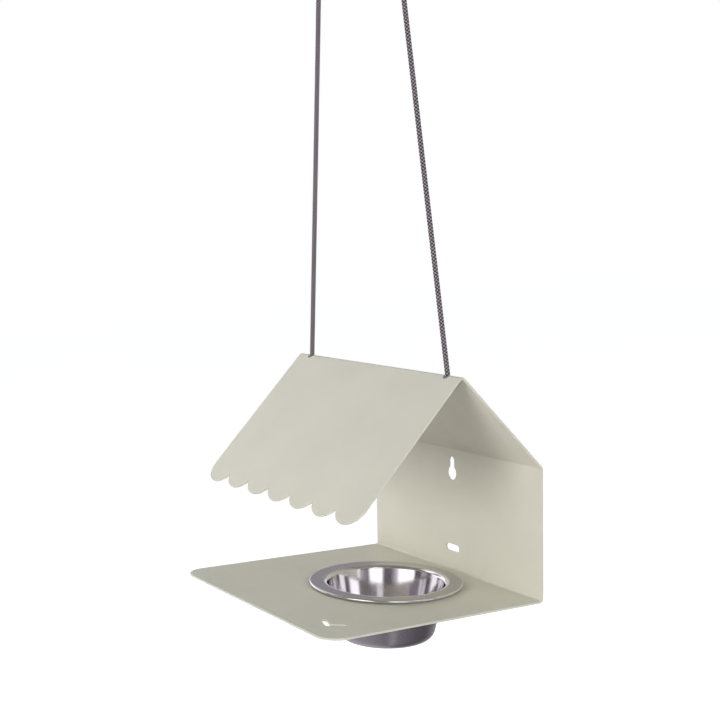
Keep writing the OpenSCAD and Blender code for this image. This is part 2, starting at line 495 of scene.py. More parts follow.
@dataclass
class Cutout:
    """One closed edge of the flat sheet, with the sheet on its left hand.

    Attributes:
        edge: Points of the real cut edge, as (x, s).
        sharp: Which of those points are corners.
    """

    edge: Array
    sharp: Array

    @classmethod
    def from_runs(cls, runs: list[Array]) -> Cutout:
        """Joins smooth runs end to end, with a corner wherever two runs meet.

        Args:
            runs: Runs of points, each starting where the last one ended. A single run is a smooth ring.

        Returns:
            The closed edge.
        """
        parts = [run[:-1] for run in runs]
        corners = [np.arange(len(p)) == 0 if len(runs) > 1 else np.zeros(len(p), bool) for p in parts]
        return cls(np.concatenate(parts), np.concatenate(corners))


@dataclass(frozen=True)
class Panel:
    """One flat panel or one fold of the sheet.

    Attributes:
        s: Where it starts along the sheet.
        length: Its length along the sheet.
        start: Where a flat panel's outer face starts, or the centre of a fold, as (y, z).
        angle: Its direction where it starts, in degrees.
        turn: Degrees that it folds, 0 for a flat panel.
    """

    s: float
    length: float
    start: Array
    angle: float
    turn: float


@dataclass
class FoldedHouse:
    """The house: one sheet with a floor, a back plate and two roof slopes, folded three times.

    A point of the flat sheet is (x, s, h): x across, s along the sheet from the floor's front edge to the
    scallops, and h its distance from the outer face. Panels are measured between the outer corners of the
    folds, the last one to the scallops' tips.

    Attributes:
        width: Width of the sheet.
        floor_depth: Length of the floor.
        back_height: Height of the back plate above the floor's top.
        rear_length: Length of the rear roof slope.
        front_length: Length of the front roof slope.
        thickness: Thickness of the sheet.
        corner_radius: Radius of the floor's two front corners.
        fold_radius: Inside radius of the folds.
        turns: Degrees of the folds, from the floor's to the ridge.
        scallops: Number of scallops.
        scallop_depth: Depth of the notches between them.
        edge_round: Rounding of every cut edge.
        round_steps: Points of that rounding on each face's side.
        fold_step: Degrees between the lines of points in a fold.
        curve_step: Degrees between points of the scallops.
        hole_steps: The same for the bowl's hole and for the cord holes.
        keyhole_up: Height of the keyhole's round part above the floor's top.
        keyhole_radius: Radius of that part.
        keyhole_neck: Width of its slot.
        keyhole_rise: Height of the slot's round end above the round part's centre.
        slot_up: Height of the oblong slot above the floor's top.
        slot_length: Its length.
        slot_height: Its height.
        bent_corner: Corner of the bent slot's middle line, as (x, s).
        bent_width: Width of that slot.
        bent_arm: Length of each arm.
        bent_angles: Directions of the arms in degrees.
        bowl_centre: Centre of the bowl's hole, as (x, s).
        bowl_hole_radius: Its radius.
        cord_hole_x: Distance of each cord hole from the middle.
        cord_hole_radius: Its radius.
        panels: The flat panels and folds in turn, worked out from the rest.
        corners: Outer corners of the section as (y, z), from the floor's front edge to the scallops' tips.
        fold_out: Outside radius of the folds.
        total: Length of the flat sheet.
    """

    width: float = 200.0
    floor_depth: float = 178.0
    back_height: float = 94.0
    rear_length: float = 99.0
    front_length: float = 124.0
    thickness: float = 1.5
    corner_radius: float = 15.0
    fold_radius: float = 1.5
    turns: Triple = (92.5, 45.0, 90.0)
    scallops: int = 7
    scallop_depth: float = 8.8
    edge_round: float = 0.3
    round_steps: int = 5
    fold_step: float = 5.0
    curve_step: float = 3.0
    hole_steps: Pair = (2.0, 10.0)
    keyhole_up: float = 74.9
    keyhole_radius: float = 5.25
    keyhole_neck: float = 6.0
    keyhole_rise: float = 9.4
    slot_up: float = 17.3
    slot_length: float = 15.6
    slot_height: float = 5.3
    bent_corner: Pair = (71.0, 18.5)
    bent_width: float = 3.7
    bent_arm: float = 11.0
    bent_angles: Pair = (161.0, 54.0)
    bowl_centre: Pair = (6.0, 110.5)
    bowl_hole_radius: float = 43.67
    cord_hole_x: float = 84.5
    cord_hole_radius: float = 2.7
    panels: list[Panel] = field(init=False, default_factory=list)
    corners: list[Array] = field(init=False, default_factory=list)
    fold_out: float = field(init=False)
    total: float = field(init=False)

    def __post_init__(self) -> None:
        """Works out the corners, and where each flat panel and each fold starts along the sheet."""
        self.fold_out = self.fold_radius + self.thickness
        back = self.back_height + self.thickness
        lengths = (self.floor_depth, back, self.rear_length, self.front_length)
        reaches = [0.0, *[self.fold_out * math.tan(math.radians(t / 2)) for t in self.turns], 0.0]
        corner, angle, s = np.array([-self.floor_depth, -self.thickness]), 0.0, 0.0
        middle = self.fold_radius + self.thickness / 2
        self.corners.append(corner)
        for i, length in enumerate(lengths):
            flat = length - reaches[i] - reaches[i + 1]
            start = corner + along(angle, reaches[i])
            self.panels.append(Panel(s, flat, start, angle, 0.0))
            s += flat
            corner = corner + along(angle, length)
            self.corners.append(corner)
            if i < len(self.turns):
                centre = corner - along(angle, reaches[i + 1]) + along(angle + 90.0, self.fold_out)
                turn = self.turns[i]
                bend = middle * math.radians(turn)
                self.panels.append(Panel(s, bend, centre, angle, turn))
                s += bend
                angle += turn
        self.total = s

    @property
    def ridge(self) -> Array:
        """The outer corner of the ridge, where the outer faces of the slopes would meet."""
        return self.corners[3]

    @property
    def ridge_depth(self) -> float:
        """How far below the ridge's outer corner the middle of the folded sheet lies."""
        half = math.radians(self.turns[2] / 2)
        return self.fold_out * (1 / math.cos(half) - 1) + self.thickness / 2

    @property
    def pivot(self) -> Pair:
        """The point half way through the sheet on the ridge's middle line."""
        y, z = self.ridge + along(self.down_angle, self.ridge_depth)
        return float(y), float(z)

    @property
    def down_angle(self) -> float:
        """The direction that halves the ridge, down into the house."""
        return self.turns[0] + self.turns[1] + self.turns[2] / 2 + 90.0

    def bend(self, flat: Array, h: Array) -> tuple[Array, Array, Array]:
        """Folds points of the flat sheet.

        On a panel a point lies at its start plus s along its direction plus h along its inner normal. On a
        fold it lies on a circle whose radius is the outer one less h, turned by its share of the fold.

        Args:
            flat: Points as (x, s).
            h: Distance of each from the outer face.

        Returns:
            The places, the directions along the sheet and the inner normals, in the house's frame.
        """
        x, s = flat[:, 0], flat[:, 1]
        yz, tangent, normal = (np.zeros((len(x), 2)) for _ in range(3))
        starts = np.array([p.s for p in self.panels])
        which = np.clip(np.searchsorted(starts, s, side="right") - 1, 0, len(starts) - 1)
        for i, panel in enumerate(self.panels):
            m = which == i
            u = s[m] - panel.s
            if panel.turn:
                a = panel.angle - 90.0 + panel.turn * u / panel.length
                yz[m] = panel.start + along(a, self.fold_out - h[m])
                tangent[m], normal[m] = along(a + 90.0), -along(a)
            else:
                a = np.full(m.sum(), panel.angle)
                normal[m], tangent[m] = along(a + 90.0), along(a)
                yz[m] = panel.start + along(a, u) + normal[m] * h[m, None]
        zero = np.zeros(len(x))
        places = np.column_stack([x, yz])
        return places, np.column_stack([zero, tangent]), np.column_stack([zero, normal])

    def outer_edge(self) -> Cutout:
        """The sheet's outline: two sides, a front edge with round corners, and the scallops.

        A scallop is an arc whose radius is the sum of its half width squared and its depth squared, over
        twice its depth. The outer quarters of the two outermost ones are rounder.

        Returns:
            The outline, anticlockwise.
        """
        w, r, step = self.width / 2, self.corner_radius, self.curve_step
        pitch = self.width / self.scallops
        bulge = (pitch * pitch / 4 + self.scallop_depth**2) / (2 * self.scallop_depth)
        notch, centre_s = self.total - self.scallop_depth, self.total - bulge
        low = math.degrees(math.asin((notch - centre_s) / bulge))
        runs = [
            np.concatenate([
                arc(np.array([pitch / 2 - w, self.total - pitch / 2]), pitch / 2, 90.0, 180.0, step),
                arc(np.array([r - w, r]), r, 180.0, 270.0),
                arc(np.array([w - r, r]), r, -90.0, 0.0),
                arc(np.array([w - pitch / 2, self.total - pitch / 2]), pitch / 2, 0.0, 90.0, step),
            ])
        ]
        for i in range(self.scallops):
            centre = np.array([w - (i + 0.5) * pitch, centre_s])
            start = 90.0 if i == 0 else low
            end = 90.0 if i == self.scallops - 1 else 180.0 - low
            runs.append(arc(centre, bulge, start, end, step))
        made = Cutout.from_runs(runs)
        made.sharp[[0, len(runs[0]) - 1]] = False
        return made

    def on_back(self, height: float) -> float:
        """The value of s at a height above the floor's top on the back plate."""
        reach = self.fold_out * math.tan(math.radians(self.turns[0] / 2))
        return self.panels[2].s + height + self.thickness - reach

    def keyhole(self) -> Cutout:
        """A round hole with a narrower round-ended slot above it.

        Returns:
            The hole's edge, clockwise.
        """
        up = self.on_back(self.keyhole_up)
        half = self.keyhole_neck / 2
        open_by = math.degrees(math.asin(half / self.keyhole_radius))
        around = arc(np.array([0.0, up]), self.keyhole_radius, 90.0 - open_by, 90.0 + open_by - 360.0)
        tip = arc(np.array([0.0, up + self.keyhole_rise]), half, 180.0, 0.0)
        return Cutout.from_runs([around, np.concatenate([around[-1:], tip, around[:1]])])

    def screw_slot(self) -> Cutout:
        """An oblong slot with round ends.

        Returns:
            The slot's edge, clockwise.
        """
        up = self.on_back(self.slot_up)
        r, half = self.slot_height / 2, (self.slot_length - self.slot_height) / 2
        ring = np.concatenate([
            arc(np.array([half, up]), r, 90.0, -90.0), arc(np.array([-half, up]), r, -90.0, -270.0)
        ])
        return Cutout.from_runs([np.concatenate([ring, ring[:1]])])

    def bent_slot(self) -> Cutout:
        """Two round-ended arms that meet at a corner: round outside the bend and sharp inside it.

        Returns:
            The slot's edge, clockwise.
        """
        corner, r = np.array(self.bent_corner), self.bent_width / 2
        a, b = self.bent_angles
        inner = corner + along((a + b) / 2, r / math.sin(math.radians((a - b) / 2)))
        end_a = arc(corner + along(a, self.bent_arm), r, a + 90.0, a - 90.0)
        end_b = arc(corner + along(b, self.bent_arm), r, b + 90.0, b - 90.0)
        outside = arc(corner, r, b - 90.0, a + 90.0 - 360.0)
        made = Cutout.from_runs([np.concatenate([[inner], end_b, outside, end_a, [inner]])])
        made.sharp[0] = True
        return made

    def ellipse(self, centre: Pair, across: float, lengthways: float, step: float) -> Cutout:
        """A clockwise hole about (x, s) by its half sizes along x and s, with so many degrees a step."""
        ring = arc(np.zeros(2), 1.0, 360.0, 0.0, step) * [across, lengthways] + np.array(centre)
        return Cutout.from_runs([ring])

    def cutouts(self) -> list[Cutout]:
        """Every cut edge of the flat sheet.

        Returns:
            The outline first, and then every hole.
        """
        fold = self.panels[5]
        ridge_s = fold.s + fold.length / 2
        round_r, oval = self.cord_hole_radius, self.fold_ellipse()
        wide, fine = self.hole_steps
        return [
            self.outer_edge(),
            self.keyhole(),
            self.screw_slot(),
            self.bent_slot(),
            self.ellipse(self.bowl_centre, self.bowl_hole_radius, self.bowl_hole_radius, wide),
            *[self.ellipse((side.value * self.cord_hole_x, ridge_s), round_r, oval, fine) for side in Side],
        ]

    def fold_ellipse(self) -> float:
        """The oval that makes a cord hole look round once the ridge is folded.

        Returns:
            Half its length along the sheet: the fold's half, and the rest drawn out by the slope.
        """
        middle, half = self.fold_radius + self.thickness / 2, self.turns[2] / 2
        bent = middle * math.radians(half)
        rest = self.cord_hole_radius - middle * math.sin(math.radians(half))
        return bent + rest / math.cos(math.radians(half))

    def fold_levels(self) -> Array:
        """Where the flat sheet gets lines of points, so that its folds come out round.

        Returns:
            Values of s, from the first to the last of each fold.
        """
        found = [
            np.linspace(p.s, p.s + p.length, int(round(p.turn / self.fold_step)) + 1)
            for p in self.panels if p.turn
        ]
        return np.concatenate(found)

    def inset_edge(self, cut: Cutout, levels: Array) -> dict[str, Array]:
        """Moves an edge into the sheet by the edge's rounding, and adds a point where it meets each level.

        The move is along the sum of the two neighbouring edge normals, divided by one plus their cosine.

        Args:
            cut: The real edge.
            levels: Values of s that need a point.

        Returns:
            Arrays of the inset points, the real points and the outward normals before and after each.
        """
        p, sharp = cut.edge, cut.sharp
        step = np.roll(p, -1, 0) - p
        after = unit(np.column_stack([step[:, 1], -step[:, 0]]))
        before = np.roll(after, 1, 0)
        mitre = (after + before) / (1.0 + (after * before).sum(1, keepdims=True))
        smooth = unit(mitre)
        inset = p - mitre * self.edge_round
        n_in = np.where(sharp[:, None], before, smooth)
        n_out = np.where(sharp[:, None], after, smooth)
        ahead = np.roll(inset, -1, 0)
        gap = inset[:, 1, None] - levels, ahead[:, 1, None] - levels
        i, k = np.nonzero(gap[0] * gap[1] < 0)
        t = ((levels[k] - inset[i, 1]) / (ahead[i, 1] - inset[i, 1]))[:, None]
        extra = inset[i] * (1 - t) + ahead[i] * t
        extra[:, 1] = levels[k]
        turned = unit(n_out[i] * (1 - t) + np.roll(n_in, -1, 0)[i] * t)
        order = np.argsort(np.concatenate([np.arange(len(p)), i + t[:, 0]]), kind="stable")
        return {
            "inset": np.concatenate([inset, extra])[order],
            "edge": np.concatenate([p, p[i] * (1 - t) + np.roll(p, -1, 0)[i] * t])[order],
            "before": np.concatenate([n_in, turned])[order],
            "after": np.concatenate([n_out, turned])[order],
        }

    def flat_faces(self, rings: list[Array], levels: Array) -> Array:
        """Fills the sheet between its edges with triangles that keep to every level.

        A triangle lies in the sheet where a line from its centre to the right crosses the edges an odd
        number of times.

        Args:
            rings: The inset edges.
            levels: Values of s along which triangles must not cross.

        Returns:
            Triangles as numbers of the rings' points, anticlockwise seen from inside.
        """
        points = np.concatenate(rings)
        base, edges = 0, []
        for ring in rings:
            number = np.arange(len(ring))
            edges.append(np.column_stack([number, np.roll(number, -1)]) + base)
            base += len(ring)
        for level in levels:
            on = np.nonzero(np.abs(points[:, 1] - level) < TINY)[0]
            on = on[np.argsort(points[on, 0])]
            edges.append(on.reshape(-1, 2))
        joined = np.concatenate(edges)
        made = geometry.delaunay_2d_cdt([Vector(p) for p in points.tolist()], joined.tolist(), [], 0, 1e-6)
        origin = np.array([ids[0] if ids else -1 for ids in made[3]])
        tris = origin[np.array([list(f) for f in made[2]])]
        centre = points[tris].mean(1)
        a, b = (points[joined[:base, k]] for k in range(2))
        crosses = (a[:, 1] > centre[:, 1, None]) != (b[:, 1] > centre[:, 1, None])
        with np.errstate(divide="ignore", invalid="ignore"):
            at = a[:, 0] + (centre[:, 1, None] - a[:, 1]) * (b[:, 0] - a[:, 0]) / (b[:, 1] - a[:, 1])
        inside = (crosses & (at > centre[:, 0, None])).sum(1) % 2 == 1
        tris = tris[inside]
        p = points[tris]
        area = np.cross(p[:, 1] - p[:, 0], p[:, 2] - p[:, 0])
        tris[area < 0] = tris[area < 0][:, ::-1]
        return tris[np.abs(area) > TINY]

    def build(self, hang: Hang, finish: bpy.types.Material) -> bpy.types.Object:
        """Makes the folded sheet, with a quarter round along both sides of every cut edge.

        Args:
            hang: Where the house hangs.
            finish: Its material.

        Returns:
            The sheet.
        """
        levels = self.fold_levels()
        rings = [self.inset_edge(cut, levels) for cut in self.cutouts()]
        tris = self.flat_faces([r["inset"] for r in rings], levels)
        inset, edge, before, after = (
            np.concatenate([r[k] for r in rings]) for k in ("inset", "edge", "before", "after")
        )
        count = len(inset)
        ahead = np.concatenate([
            np.roll(np.arange(len(r["inset"])), -1) + start
            for r, start in zip(rings, np.cumsum([0, *[len(r["inset"]) for r in rings[:-1]]]))
        ])
        quarter = np.linspace(90.0, 0.0, self.round_steps)
        beta = np.concatenate([quarter, -quarter[::-1]])
        out = self.edge_round * np.cos(np.radians(beta))
        rows = len(beta)
        upper = np.arange(rows) < self.round_steps
        top = np.where(upper, self.thickness - self.edge_round, self.edge_round)
        high = top + self.edge_round * np.sin(np.radians(beta))
        shift = (edge - inset)[None] * (out / self.edge_round)[:, None, None]
        flat = (inset[None] + shift).reshape(-1, 2)
        places, tangent, normal = self.bend(flat, np.repeat(high, count))
        number = np.arange(rows * count).reshape(rows, count)
        quads = np.stack([number[:-1], number[1:], number[1:][:, ahead], number[:-1][:, ahead]], axis=-1)

        def leaning(n: Array, row: slice, column: Array) -> Array:
            """The edge's normal in space: the cosine of its lean outward plus the sine inward.

            Args:
                n: Outward normals in the flat sheet.
                row: Rows of the rounding.
                column: Points along the edge.

            Returns:
                One direction for each row and column.
            """
            k = number[row][:, column].ravel()
            lean = np.repeat(np.radians(beta[row]), count)[:, None]
            x_part, s_part = (np.tile(n[:, i], rows - 1) for i in range(2))
            sideways = np.column_stack([x_part, np.zeros((len(k), 2))]) + tangent[k] * s_part[:, None]
            return (np.cos(lean) * sideways + np.sin(lean) * normal[k]).reshape(-1, count, 3)

        here, first, second = np.arange(count), slice(0, rows - 1), slice(1, rows)
        corner_normals = np.stack([
            leaning(after, first, here), leaning(after, second, here),
            leaning(before[ahead], second, ahead), leaning(before[ahead], first, ahead),
        ], axis=2)
        inner, outer = tris, tris[:, ::-1] + (rows - 1) * count
        all_tris = np.concatenate([inner, outer])
        face_normals = np.concatenate([normal[inner.ravel()], -normal[outer.ravel()]])
        normals = np.concatenate([corner_normals.reshape(-1, 3), face_normals])
        sheet = make_mesh(
            "folded_house_sheet", hang.place(places), quads.reshape(-1, 4), all_tris, hang.turn(normals)
        )
        sheet.data.materials.append(finish)
        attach(sheet, Body.HOUSE.value)
        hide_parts("house_sheet")
        triangles = len(all_tris) + 2 * quads.shape[0] * count
        log.info("house sheet: %d points, %d triangles", rows * count, triangles)
        return sheet


# ---------------------------------------------------------------- the bowl


@dataclass
class Bowl:
    """A pressed bowl with a leaning wall, a flat rim and a rolled bead around it.

    Attributes:
        centre: Its middle on the floor, in the house's frame.
        rim_radius: Outer radius of the bead.
        mouth_radius: Radius at which the flat rim starts to turn down.
        depth: Depth of its base below the floor's top.
        lean: Degrees that the wall leans outward.
        base_corner: Outside radius between base and wall.
        lip: Under-side radius between wall and rim.
        sheet: Thickness of the steel.
        bead: Radius of the rolled bead.
        seat_gap: Height of the bead above the floor.
        steps: Points around.
        curve_step: Degrees between points of the section's curves.
        row_counts: Points along the base, the wall outside, the rim and the wall inside.
    """

    centre: Pair = (6.0, -67.5)
    rim_radius: float = 56.0
    mouth_radius: float = 46.0
    depth: float = 39.4
    lean: float = 12.0
    base_corner: float = 8.5
    lip: float = 3.0
    sheet: float = 0.6
    bead: float = 1.1
    seat_gap: float = 0.3
    steps: int = 256
    curve_step: float = 6.0
    row_counts: tuple[int, int, int, int] = (12, 12, 6, 24)

    def section(self) -> tuple[Array, Array, Array]:
        """The bowl's section, under side first, from the middle of the base and back to it.

        Returns:
            Points as (r, z), outward normals, and a zone number for each point: 0 outside, 1 flat rim,
            2 lip and bead, 3 inside.
        """
        turn = 90.0 - self.lean
        rim_top = self.seat_gap + 2 * self.bead
        rim_under = rim_top - self.sheet
        sin_t, cos_t = math.sin(math.radians(turn)), math.cos(math.radians(turn))
        wall_top = self.mouth_radius - self.lip * sin_t
        rise = self.depth + rim_under - (self.base_corner + self.lip) * (1 - cos_t)
        length = rise / sin_t
        flat = wall_top - length * cos_t - self.base_corner * sin_t
        corner = np.array([flat, self.base_corner - self.depth])
        lip = np.array([self.mouth_radius, rim_under - self.lip])
        bead = np.array([self.rim_radius - self.bead, self.seat_gap + self.bead])
        start = 180.0 - math.degrees(math.asin((self.bead - self.sheet) / self.bead))
        parts: list[tuple[Array, Array, int]] = []

        def line(a: Array, b: Array, zone: int, count: int) -> None:
            """Adds a straight run with one normal, to the right of its direction.

            Args:
                a: First point.
                b: Last point.
                zone: Its zone.
                count: Number of points.
            """
            t = np.linspace(0.0, 1.0, count)[:, None]
            step = unit(b - a)
            parts.append((a * (1 - t) + b * t, np.tile([step[1], -step[0]], (count, 1)), zone))

        def bow(c: Array, r: float, a: float, b: float, zone: int, outward: float) -> None:
            """Adds a curved run, with its normal along the radius."""
            points = arc(c, r, a, b, self.curve_step)
            parts.append((points, unit(points - c) * outward, zone))

        base_rows, wall_rows, rim_rows, inside_rows = self.row_counts
        low, high = np.array([0.0, -self.depth]), np.array([0.0, self.sheet - self.depth])
        line(low, np.array([flat, -self.depth]), 0, base_rows)
        bow(corner, self.base_corner, -90.0, turn - 90.0, 0, 1.0)
        wall_low, wall_high = along(turn - 90.0, self.base_corner), along(turn + 90.0, self.lip)
        line(corner + wall_low, lip + wall_high, 0, wall_rows)
        bow(lip, self.lip, turn + 90.0, 90.0, 0, -1.0)
        line(np.array([self.mouth_radius, rim_under]), bead + along(start, self.bead), 0, 4)
        bow(bead, self.bead, start, 450.0, 2, 1.0)
        line(np.array([bead[0], rim_top]), np.array([self.mouth_radius, rim_top]), 1, rim_rows)
        outer, inner = self.lip + self.sheet, self.base_corner - self.sheet
        bow(lip, outer, 90.0, turn + 90.0, 2, 1.0)
        line(lip + along(turn + 90.0, outer), corner + along(turn - 90.0, inner), 3, inside_rows)
        bow(corner, inner, turn - 90.0, -90.0, 3, -1.0)
        line(np.array([flat, high[1]]), high, 3, base_rows)
        points, normals = (np.concatenate([part[k] for part in parts]) for k in range(2))
        return points, normals, np.concatenate([np.full(len(p), z) for p, _, z in parts])

    def build(self, hang: Hang, finishes: list[bpy.types.Material]) -> bpy.types.Object:
        """Turns the section about the bowl's axis: x is r times the cosine, y is r times the sine.

        Args:
            hang: Where the house hangs.
            finishes: Materials of the outside, the flat rim, the lip and bead, and the inside.

        Returns:
            The bowl.
        """
        section, normal, zone = self.section()
        keep = np.concatenate([[True], np.linalg.norm(np.diff(section, axis=0), axis=1) > TINY])
        first = np.concatenate([keep[1:], [True]])
        points, zones = section[keep], zone[keep]
        turned = np.linspace(0.0, 2 * np.pi, self.steps, endpoint=False)
        c, s = np.cos(turned), np.sin(turned)

        def about(rz: Array) -> Array:
            """Every row of (r, z) at every angle."""
            r, z = rz[:, 0, None], np.repeat(rz[:, 1, None], self.steps, 1)
            return np.stack([r * c, r * s, z], axis=-1)

        grid = about(points)[1:-1].reshape(-1, 3)
        places = np.concatenate([grid, [[0, 0, points[0, 1]]], [[0, 0, points[-1, 1]]]])
        quads, tris = ring_faces(len(points) - 2, self.steps)
        n0, n1 = about(normal[keep]), about(normal[first])
        quad_normals = np.stack([
            n0[1:-2], np.roll(n0, -1, 1)[1:-2], np.roll(n1, -1, 1)[2:-1], n1[2:-1]
        ], axis=2)
        down, up = (np.tile([0.0, 0.0, z], (3 * self.steps, 1)) for z in (-1.0, 1.0))
        normals = np.concatenate([quad_normals.reshape(-1, 3), down, up])
        places = places + np.array([*self.centre, 0.0])
        bowl = make_mesh("steel_bowl", hang.place(places), quads, tris, hang.turn(normals))
        for finish in finishes:
            bowl.data.materials.append(finish)
        zone_of = np.concatenate([
            np.repeat(zones[2:-1], self.steps), np.full(self.steps, 0), np.full(self.steps, 3)
        ])
        bowl.data.polygons.foreach_set("material_index", zone_of.astype(np.int32))
        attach(bowl, Body.BOWL.value)
        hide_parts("bowl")
        log.info("bowl: %d points", len(places))
        return bowl


# ---------------------------------------------------------------- the cord and its knots


@dataclass(frozen=True)
class Braid:
    """A round braid: two families of strands wind opposite ways and pass over and under each other.

    Attributes:
        radius: The cord's radius.
        strands: Strands in each family.
        pitch: Length along the cord in which a strand gives way to the next.
        relief: Height of a strand's top over the gaps.
        sides: Points a ring.
        ring_step: Distance between rings.
        level: The strands' height that lies at the cord's radius.
        end_lift: Height given to the middle of each cut end, which sets how much painted shade the yarn puts
            there.
    """

    radius: float = 1.7
    strands: int = 4
    pitch: float = 2.3
    relief: float = 0.28
    sides: int = 32
    ring_step: float = 0.25
    level: float = 0.45
    end_lift: float = 0.3

    @staticmethod
    def strand(across: Array, lengthways: Array) -> Array:
        """A strand's height: the sine across it times a slower sine along it."""
        return np.sin(np.pi * (across % 1)) * (0.55 + 0.45 * np.sin(np.pi * (lengthways % 1)))

    def tube(self, path: Array) -> tuple[Array, Array, Array, Array, Array]:
        """Carries the braid's section along a path.

        Each ring stands square to the path in a frame that turns with it as little as it can. The radius
        is the cord's own, plus the relief times the height of whichever strand is on top there.

        Args:
            path: Points along the middle of the cord, in millimetres.

        Returns:
            Points, quads, end triangles, the height of the braid at each point, and the ring centres.
        """
        gaps = np.linalg.norm(np.diff(path, axis=0), axis=1)
        run = np.concatenate([[0.0], np.cumsum(gaps)])
        count = int(run[-1] / self.ring_step) + 1
        at = np.linspace(0.0, run[-1], count)
        middle = np.column_stack([np.interp(at, run, path[:, k]) for k in range(3)])
        ahead = unit(np.gradient(middle, axis=0))
        side = np.zeros_like(ahead)
        reference = np.array([0.0, 1.0, 0.0])
        side[0] = unit(reference - ahead[0] * (reference @ ahead[0]))
        for i in range(1, count):
            carried = side[i - 1] - ahead[i] * (side[i - 1] @ ahead[i])
            side[i] = carried / np.linalg.norm(carried)
        other = np.cross(ahead, side)
        theta = np.arange(self.sides) * 2 * np.pi / self.sides
        wound = self.strands * theta[None] / (2 * np.pi)
        along_it = at[:, None] / self.pitch
        a, b = wound + along_it, wound - along_it
        over = (np.floor(a) + np.floor(b)) % 2 == 0
        height = np.where(over, self.strand(a, b), self.strand(b, a))
        radius = self.radius + self.relief * (height - self.level)
        ring = (
            middle[:, None]
            + side[:, None] * (radius * np.cos(theta))[..., None]
            + other[:, None] * (radius * np.sin(theta))[..., None]
        )
        quads, tris = ring_faces(count, self.sides)
        points = np.concatenate([ring.reshape(-1, 3), middle[:1], middle[-1:]])
        # The braid's height at each point, which the yarn material turns into painted shade in the gaps.
        lift = np.concatenate([height.ravel(), [self.end_lift] * 2])
        return points, quads, tris, lift, middle


def dress_tube(
    name: str, braid: Braid, path: Array, finish: bpy.types.Material
) -> tuple[bpy.types.Object, Array]:
    """Makes a braided tube along a path in the row frame.

    Args:
        name: Name of the piece.
        braid: The braid.
        path: Points along its middle, in millimetres.
        finish: Its material.

    Returns:
        The piece, and its ring centres in metres.
    """
    points, quads, tris, lift, middle = braid.tube(path)
    piece = make_mesh(name, points * METRE, quads, tris)
    # The lift attribute carries the braid's height to the yarn, which paints shade into the gaps from it.
    attribute = piece.data.attributes.new("lift", "FLOAT", "POINT")
    attribute.data.foreach_set("value", lift.astype(np.float32))
    piece.data.materials.append(finish)
    return piece, middle * METRE


@dataclass
class Cord:
    """The cord, from one ridge hole up over its support and down to the other.

    Attributes:
        braid: Its braid.
        half_route: Points of its right half as (x, z) in the row frame, from the hole up.
        top: The route's top, between the two halves.
        tuck: How far each end reaches straight down into its hole.
        steps: Steps between two route points.
    """

    braid: Braid = field(default_factory=Braid)
    half_route: tuple[Pair, ...] = (
        (84.5, -309.05), (78.5, -262.5), (72.4, -215.5), (66.3, -168.5), (60.25, -121.5), (54.15, -74.5),
        (50.1, -43.0), (46.8, -30.0), (40.5, -18.3), (31.0, -8.8), (19.5, -2.3), (6.5, 1.2),
    )
    top: Pair = (0.0, 1.7)
    tuck: float = 0.8
    steps: int = 24

    def path(self) -> Array:
        """The route's smooth curve, and a short straight end into each hole.

        Returns:
            Points in millimetres, in the row frame, from the right hole to the left one.
        """
        half = np.array(self.half_route)
        route = np.concatenate([half, [self.top], half[::-1] * [-1, 1]])
        xz = through(route, self.steps)
        ends = xz[[0, -1]] - [0.0, self.tuck]
        xz = np.concatenate([ends[:1], xz, ends[1:]])
        return np.column_stack([xz[:, 0], np.zeros(len(xz)), xz[:, 1]])

    def build(self, finish: bpy.types.Material) -> tuple[bpy.types.Object, Array]:
        """Makes the cord.

        Args:
            finish: Its material.

        Returns:
            The cord and its ring centres in metres.
        """
        cord, middle = dress_tube("braided_cord", self.braid, self.path(), finish)
        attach(cord, Body.HANGER.value)
        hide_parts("cord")
        log.info("cord: %.0f mm long", length_of(middle) / METRE)
        return cord, middle


